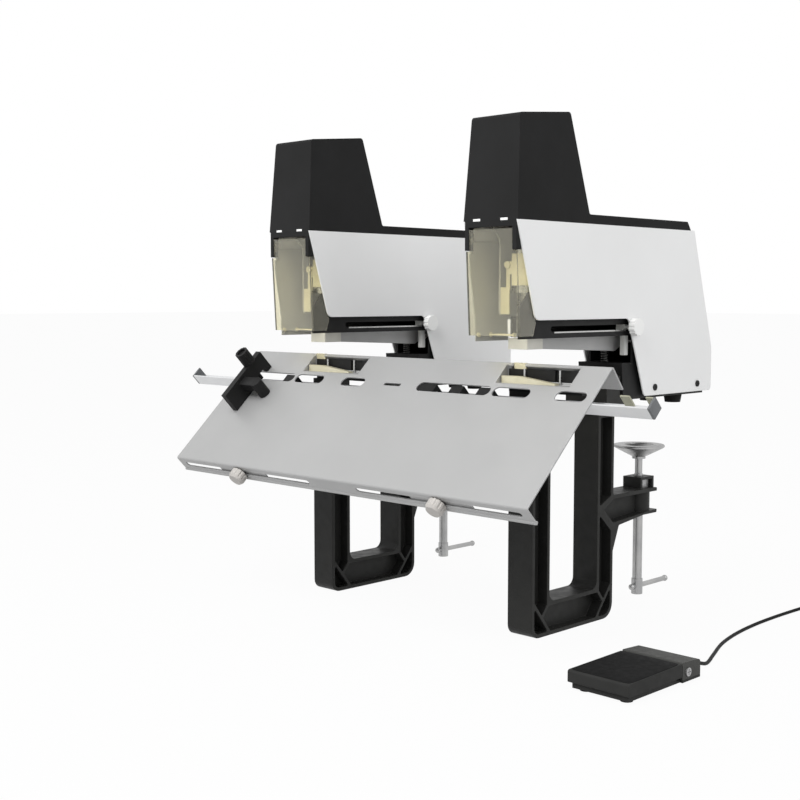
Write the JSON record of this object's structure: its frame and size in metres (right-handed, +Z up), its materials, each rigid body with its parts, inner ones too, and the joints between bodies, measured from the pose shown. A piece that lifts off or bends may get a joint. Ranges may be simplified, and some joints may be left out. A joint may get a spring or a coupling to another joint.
{
  "type": "saddle stitcher",
  "caption": "Electric saddle stitcher with paired stapling heads on clamp frames, a sloping saddle table and a foot pedal.",
  "frame": {"origin": "bottom centre of the machine with its pedal on the floor, measured without the cord", "axes": "+X along the saddle ridge to the operator's right, +Y to the rear, +Z up"},
  "size_m": [0.9073, 0.6675, 0.6689],
  "materials": {
    "white_enamel": "satin",
    "black_plastic": "fine grain",
    "clear_plastic": "clear, slightly tinted",
    "black_paint": "matt",
    "yellow_zinc": "yellow passivated",
    "grey_zinc": "dull zinc",
    "coil_body": "lacquered",
    "steel": "ground",
    "grey_paint": "satin",
    "pale_steel": "satin",
    "white_plastic": "smooth",
    "grey_plastic": "fluted",
    "cast_black": "black enamel",
    "zinc_plate": "bright zinc",
    "sheet_steel": "satin",
    "rail_alloy": "anodised",
    "rubber": "matt",
    "pedal_grey": "fine grain",
    "pedal_hood_grey": "fine grain",
    "treadle_black": "fine grain",
    "spring_black": "oiled"
  },
  "bodies": {
    "machine": {"shell_left": "white_enamel", "shell_right": "white_enamel", "top_cover_left": "black_plastic", "top_cover_right": "black_plastic", "chassis_left": "black_paint", "chassis_right": "black_paint", "clincher_body_left": "black_paint", "clincher_body_right": "black_paint", "base_left": "cast_black", "base_right": "cast_black", "frame_left": "cast_black", "frame_right": "cast_black", "return_spring_left": "spring_black", "return_spring_right": "spring_black", "mechanism_frames": "grey_zinc", "feed_levers": "yellow_zinc", "solenoids": "coil_body", "mechanism_pins": "steel", "anvils": "yellow_zinc", "clamp_nuts": "zinc_plate", "rubber_feet": "rubber", "panel_screws": "black_paint", "cover_clips": "white_plastic", "rear_inlets": "black_plastic", "saddle_plate": "sheet_steel", "cross_rail": "rail_alloy", "rail_caps": "rail_alloy", "rail_tabs": "yellow_zinc", "rail_hangers": "black_paint", "pedal_base": "pedal_grey", "pedal_hood": "pedal_hood_grey", "pedal_pin": "steel", "pedal_cord": "rubber", "cord_coil": "rubber", "cord_plug": "black_plastic"},
    "clear_cover_left": {"clear_cover_left": "clear_plastic"},
    "driver_left": {"driver_left": "steel"},
    "magazine_left": {"magazine_left": "grey_paint", "magazine_nose_left": "pale_steel"},
    "depth_stop_left": {"depth_stop_left": "steel"},
    "depth_knob_left": {"depth_knob_left": "white_plastic"},
    "clamp_dish_left": {"clamp_dish_left": "zinc_plate"},
    "clamp_screw_left": {"clamp_screw_left": "zinc_plate"},
    "tommy_bar_left": {"tommy_bar_left": "zinc_plate"},
    "lip_stop_left": {"lip_stop_left": "steel"},
    "lip_knob_left": {"lip_knob_left": "grey_plastic"},
    "clear_cover_right": {"clear_cover_right": "clear_plastic"},
    "driver_right": {"driver_right": "steel"},
    "magazine_right": {"magazine_right": "grey_paint", "magazine_nose_right": "pale_steel"},
    "depth_stop_right": {"depth_stop_right": "steel"},
    "depth_knob_right": {"depth_knob_right": "white_plastic"},
    "clamp_dish_right": {"clamp_dish_right": "zinc_plate"},
    "clamp_screw_right": {"clamp_screw_right": "zinc_plate"},
    "tommy_bar_right": {"tommy_bar_right": "zinc_plate"},
    "lip_stop_right": {"lip_stop_right": "steel"},
    "lip_knob_right": {"lip_knob_right": "grey_plastic"},
    "side_stop": {"side_stop": "black_plastic"},
    "side_knob": {"side_knob": "black_plastic"},
    "treadle": {"pedal_treadle": "treadle_black"}
  },
  "joints": [
    {"name": "clear_cover_hinge_left", "type": "hinge", "parent": "machine", "child": "clear_cover_left", "pos_m": [-0.19025, -0.16239, 0.511], "axis": [-1, 0, 0], "range_deg": [0, 75]},
    {"name": "driver_slide_left", "type": "slide", "parent": "machine", "child": "driver_left", "axis": [0, 0, -1], "range_m": [0, 0.031], "stiffness_N_per_m": 400, "springref_m": -0.03},
    {"name": "magazine_hinge_left", "type": "hinge", "parent": "machine", "child": "magazine_left", "pos_m": [-0.19025, 0.09461, 0.3787], "axis": [1, 0, 0], "range_deg": [0, 4.2], "deforming": ["return_spring_left"]},
    {"name": "depth_slide_left", "type": "slide", "parent": "machine", "child": "depth_stop_left", "axis": [0, -1, 0], "range_m": [0, 0.165]},
    {"name": "depth_knob_turn_left", "type": "hinge", "parent": "depth_stop_left", "child": "depth_knob_left", "pos_m": [-0.14225, 0.07561, 0.3975], "axis": [1, 0, 0], "continuous": true},
    {"name": "clamp_feed_left", "type": "slide", "parent": "machine", "child": "clamp_dish_left", "axis": [0, 0, 1], "range_m": [-0.01, 0.056]},
    {"name": "clamp_turn_left", "type": "hinge", "parent": "clamp_dish_left", "child": "clamp_screw_left", "pos_m": [-0.19025, 0.15811, 0.229], "axis": [0, 0, 1], "range_deg": [-900, 5040]},
    {"name": "tommy_slide_left", "type": "slide", "parent": "clamp_screw_left", "child": "tommy_bar_left", "axis": [0, 1, 0], "range_m": [-0.059, 0]},
    {"name": "lip_slide_left", "type": "slide", "parent": "machine", "child": "lip_stop_left", "axis": [1, 0, 0], "range_m": [-0.12, 0.13]},
    {"name": "lip_knob_turn_left", "type": "hinge", "parent": "lip_stop_left", "child": "lip_knob_left", "pos_m": [-0.19025, -0.26504, 0.18776], "axis": [0, -0.723, -0.6909], "continuous": true},
    {"name": "clear_cover_hinge_right", "type": "hinge", "parent": "machine", "child": "clear_cover_right", "pos_m": [0.18775, -0.16239, 0.511], "axis": [-1, 0, 0], "range_deg": [0, 75]},
    {"name": "driver_slide_right", "type": "slide", "parent": "machine", "child": "driver_right", "axis": [0, 0, -1], "range_m": [0, 0.031], "stiffness_N_per_m": 400, "springref_m": -0.03},
    {"name": "magazine_hinge_right", "type": "hinge", "parent": "machine", "child": "magazine_right", "pos_m": [0.18775, 0.09461, 0.3787], "axis": [1, 0, 0], "range_deg": [0, 4.2], "deforming": ["return_spring_right"]},
    {"name": "depth_slide_right", "type": "slide", "parent": "machine", "child": "depth_stop_right", "axis": [0, -1, 0], "range_m": [0, 0.165]},
    {"name": "depth_knob_turn_right", "type": "hinge", "parent": "depth_stop_right", "child": "depth_knob_right", "pos_m": [0.23575, 0.07561, 0.3975], "axis": [1, 0, 0], "continuous": true},
    {"name": "clamp_feed_right", "type": "slide", "parent": "machine", "child": "clamp_dish_right", "axis": [0, 0, 1], "range_m": [-0.01, 0.056]},
    {"name": "clamp_turn_right", "type": "hinge", "parent": "clamp_dish_right", "child": "clamp_screw_right", "pos_m": [0.18775, 0.15811, 0.229], "axis": [0, 0, 1], "range_deg": [-900, 5040]},
    {"name": "tommy_slide_right", "type": "slide", "parent": "clamp_screw_right", "child": "tommy_bar_right", "axis": [0, 1, 0], "range_m": [-0.059, 0]},
    {"name": "lip_slide_right", "type": "slide", "parent": "machine", "child": "lip_stop_right", "axis": [1, 0, 0], "range_m": [-0.13, 0.12]},
    {"name": "lip_knob_turn_right", "type": "hinge", "parent": "lip_stop_right", "child": "lip_knob_right", "pos_m": [0.18775, -0.26504, 0.18776], "axis": [0, -0.723, -0.6909], "continuous": true},
    {"name": "side_stop_slide", "type": "slide", "parent": "machine", "child": "side_stop", "axis": [1, 0, 0], "range_m": [-0.013, 0.04]},
    {"name": "side_knob_turn", "type": "hinge", "parent": "side_stop", "child": "side_knob", "pos_m": [-0.28125, -0.17551, 0.34593], "axis": [0, -0.6909, 0.723], "continuous": true},
    {"name": "treadle_hinge", "type": "hinge", "parent": "machine", "child": "treadle", "pos_m": [0.40875, -0.12539, 0.014], "axis": [1, 0, 0], "range_deg": [0, 3], "stiffness_Nm_per_rad": 4, "springref_deg": -8.59}
  ],
  "couplings": [
    {"joint": "magazine_hinge_left", "follows": "driver_slide_left", "rad_per_m": 2.36},
    {"joint": "clamp_turn_left", "follows": "clamp_feed_left", "rad_per_m": 1570.8},
    {"joint": "magazine_hinge_right", "follows": "driver_slide_right", "rad_per_m": 2.36},
    {"joint": "clamp_turn_right", "follows": "clamp_feed_right", "rad_per_m": 1570.8}
  ]
}
